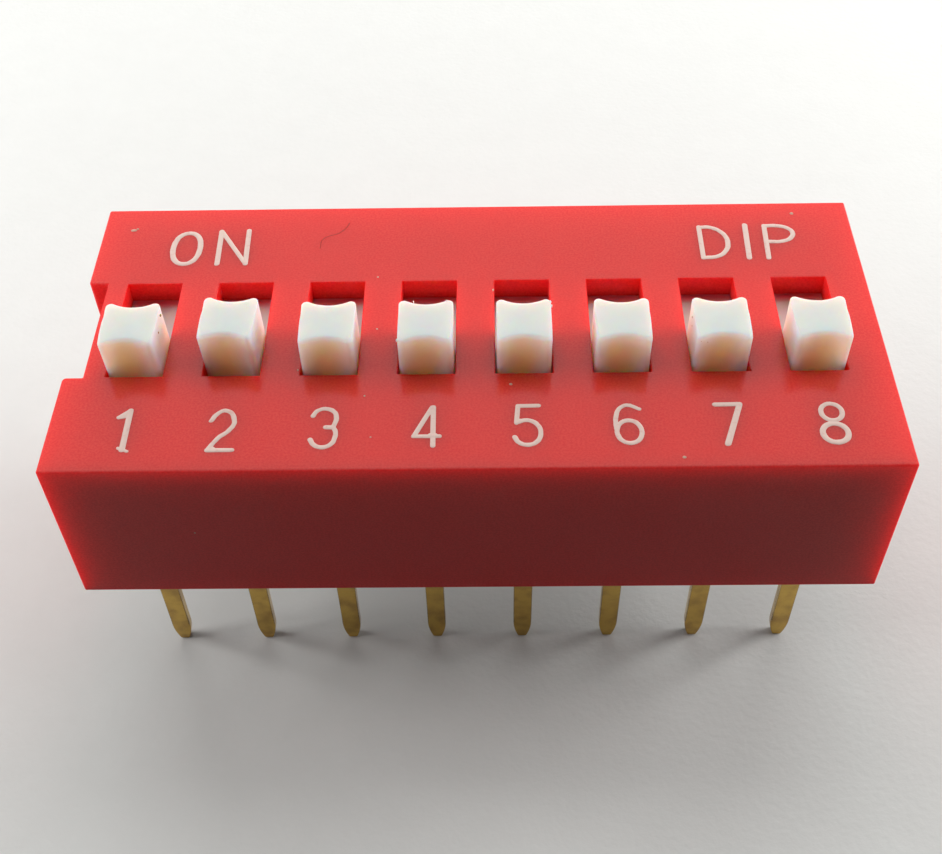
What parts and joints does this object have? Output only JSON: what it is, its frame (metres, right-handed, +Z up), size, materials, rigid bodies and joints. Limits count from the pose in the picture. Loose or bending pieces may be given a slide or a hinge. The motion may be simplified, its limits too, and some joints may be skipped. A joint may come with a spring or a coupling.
{
  "type": "dip switch",
  "caption": "Row of small white slide switches under a red dual in-line cover, with pins along both long sides for a circuit board.",
  "frame": {"origin": "middle of the underside, which lies on the circuit board", "axes": "+X runs along the switch from position 1 to position 8, +Y points to the ON side, +Z points up, away from the board"},
  "size_m": [0.0216, 0.01, 0.0103],
  "materials": {
    "cover": "satin moulded red plastic with pale printing",
    "base": "matt black moulded plastic with a fine grain",
    "slider": "warm white moulded plastic, slightly translucent",
    "contact_spring": "bright spring strip",
    "terminal": "bright gold-coloured plating"
  },
  "bodies": {
    "housing": {"cover": "cover", "base": "base", "terminal_front_1": "terminal", "terminal_front_2": "terminal", "terminal_front_3": "terminal", "terminal_front_4": "terminal", "terminal_front_5": "terminal", "terminal_front_6": "terminal", "terminal_front_7": "terminal", "terminal_front_8": "terminal", "terminal_back_1": "terminal", "terminal_back_2": "terminal", "terminal_back_3": "terminal", "terminal_back_4": "terminal", "terminal_back_5": "terminal", "terminal_back_6": "terminal", "terminal_back_7": "terminal", "terminal_back_8": "terminal"},
    "slider_1": {"slider_1": "slider", "contact_spring_1": "contact_spring"},
    "slider_2": {"slider_2": "slider", "contact_spring_2": "contact_spring"},
    "slider_3": {"slider_3": "slider", "contact_spring_3": "contact_spring"},
    "slider_4": {"slider_4": "slider", "contact_spring_4": "contact_spring"},
    "slider_5": {"slider_5": "slider", "contact_spring_5": "contact_spring"},
    "slider_6": {"slider_6": "slider", "contact_spring_6": "contact_spring"},
    "slider_7": {"slider_7": "slider", "contact_spring_7": "contact_spring"},
    "slider_8": {"slider_8": "slider", "contact_spring_8": "contact_spring"}
  },
  "joints": [
    {"name": "slide_1", "type": "slide", "parent": "housing", "child": "slider_1", "axis": [0, 1, 0], "range_m": [0, 0.0018]},
    {"name": "slide_2", "type": "slide", "parent": "housing", "child": "slider_2", "axis": [0, 1, 0], "range_m": [-0.00018, 0.00162]},
    {"name": "slide_3", "type": "slide", "parent": "housing", "child": "slider_3", "axis": [0, 1, 0], "range_m": [0, 0.0018]},
    {"name": "slide_4", "type": "slide", "parent": "housing", "child": "slider_4", "axis": [0, 1, 0], "range_m": [0, 0.0018]},
    {"name": "slide_5", "type": "slide", "parent": "housing", "child": "slider_5", "axis": [0, 1, 0], "range_m": [0, 0.0018]},
    {"name": "slide_6", "type": "slide", "parent": "housing", "child": "slider_6", "axis": [0, 1, 0], "range_m": [0, 0.0018]},
    {"name": "slide_7", "type": "slide", "parent": "housing", "child": "slider_7", "axis": [0, 1, 0], "range_m": [0, 0.0018]},
    {"name": "slide_8", "type": "slide", "parent": "housing", "child": "slider_8", "axis": [0, 1, 0], "range_m": [0, 0.0018]}
  ]
}
